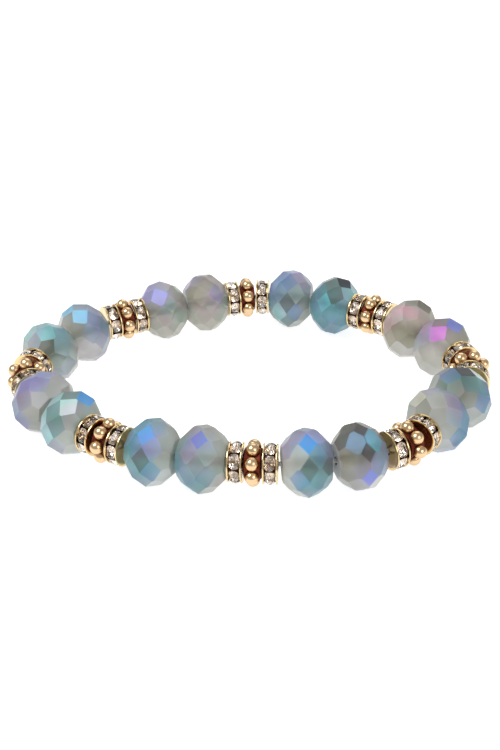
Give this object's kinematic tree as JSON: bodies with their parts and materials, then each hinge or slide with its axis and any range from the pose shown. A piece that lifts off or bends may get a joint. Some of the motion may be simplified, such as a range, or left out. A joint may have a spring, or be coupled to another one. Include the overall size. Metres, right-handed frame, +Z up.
{
  "type": "beaded bracelet",
  "caption": "Stretch bracelet of faceted frosted glass beads in pairs, separated by gold ball spacers between rhinestone rondelles, strung on an elastic cord.",
  "frame": {"origin": "middle of the loop's outline on the table", "axes": "+Z up, +X along the long way of the oval loop, -Y towards the picture's viewer"},
  "size_m": [0.0745, 0.0584, 0.01],
  "materials": {
    "opal_glass": "frosted translucent glass, one side with an iridescent film",
    "gold_plate": "polished pale rose gold plating on brass",
    "crystal": "clear cut crystal with a foiled back",
    "elastic": "clear elastic cord"
  },
  "bodies": {
    "root": {"glass_bead_01": "opal_glass", "glass_bead_02": "opal_glass", "glass_bead_03": "opal_glass", "glass_bead_04": "opal_glass", "glass_bead_05": "opal_glass", "glass_bead_06": "opal_glass", "glass_bead_07": "opal_glass", "glass_bead_08": "opal_glass", "glass_bead_09": "opal_glass", "glass_bead_10": "opal_glass", "glass_bead_11": "opal_glass", "glass_bead_12": "opal_glass", "glass_bead_13": "opal_glass", "glass_bead_14": "opal_glass", "glass_bead_15": "opal_glass", "glass_bead_16": "opal_glass", "rondelle_01": "gold_plate", "rondelle_02": "gold_plate", "rondelle_03": "gold_plate", "rondelle_04": "gold_plate", "rondelle_05": "gold_plate", "rondelle_06": "gold_plate", "rondelle_07": "gold_plate", "rondelle_08": "gold_plate", "rondelle_09": "gold_plate", "rondelle_10": "gold_plate", "rondelle_11": "gold_plate", "rondelle_12": "gold_plate", "rondelle_13": "gold_plate", "rondelle_14": "gold_plate", "rondelle_15": "gold_plate", "rondelle_16": "gold_plate", "stones_01": "crystal", "stones_02": "crystal", "stones_03": "crystal", "stones_04": "crystal", "stones_05": "crystal", "stones_06": "crystal", "stones_07": "crystal", "stones_08": "crystal", "stones_09": "crystal", "stones_10": "crystal", "stones_11": "crystal", "stones_12": "crystal", "stones_13": "crystal", "stones_14": "crystal", "stones_15": "crystal", "stones_16": "crystal", "ball_spacer_01": "gold_plate", "ball_spacer_02": "gold_plate", "ball_spacer_03": "gold_plate", "ball_spacer_04": "gold_plate", "ball_spacer_05": "gold_plate", "ball_spacer_06": "gold_plate", "ball_spacer_07": "gold_plate", "ball_spacer_08": "gold_plate", "elastic_cord": "elastic"}
  },
  "joints": []
}
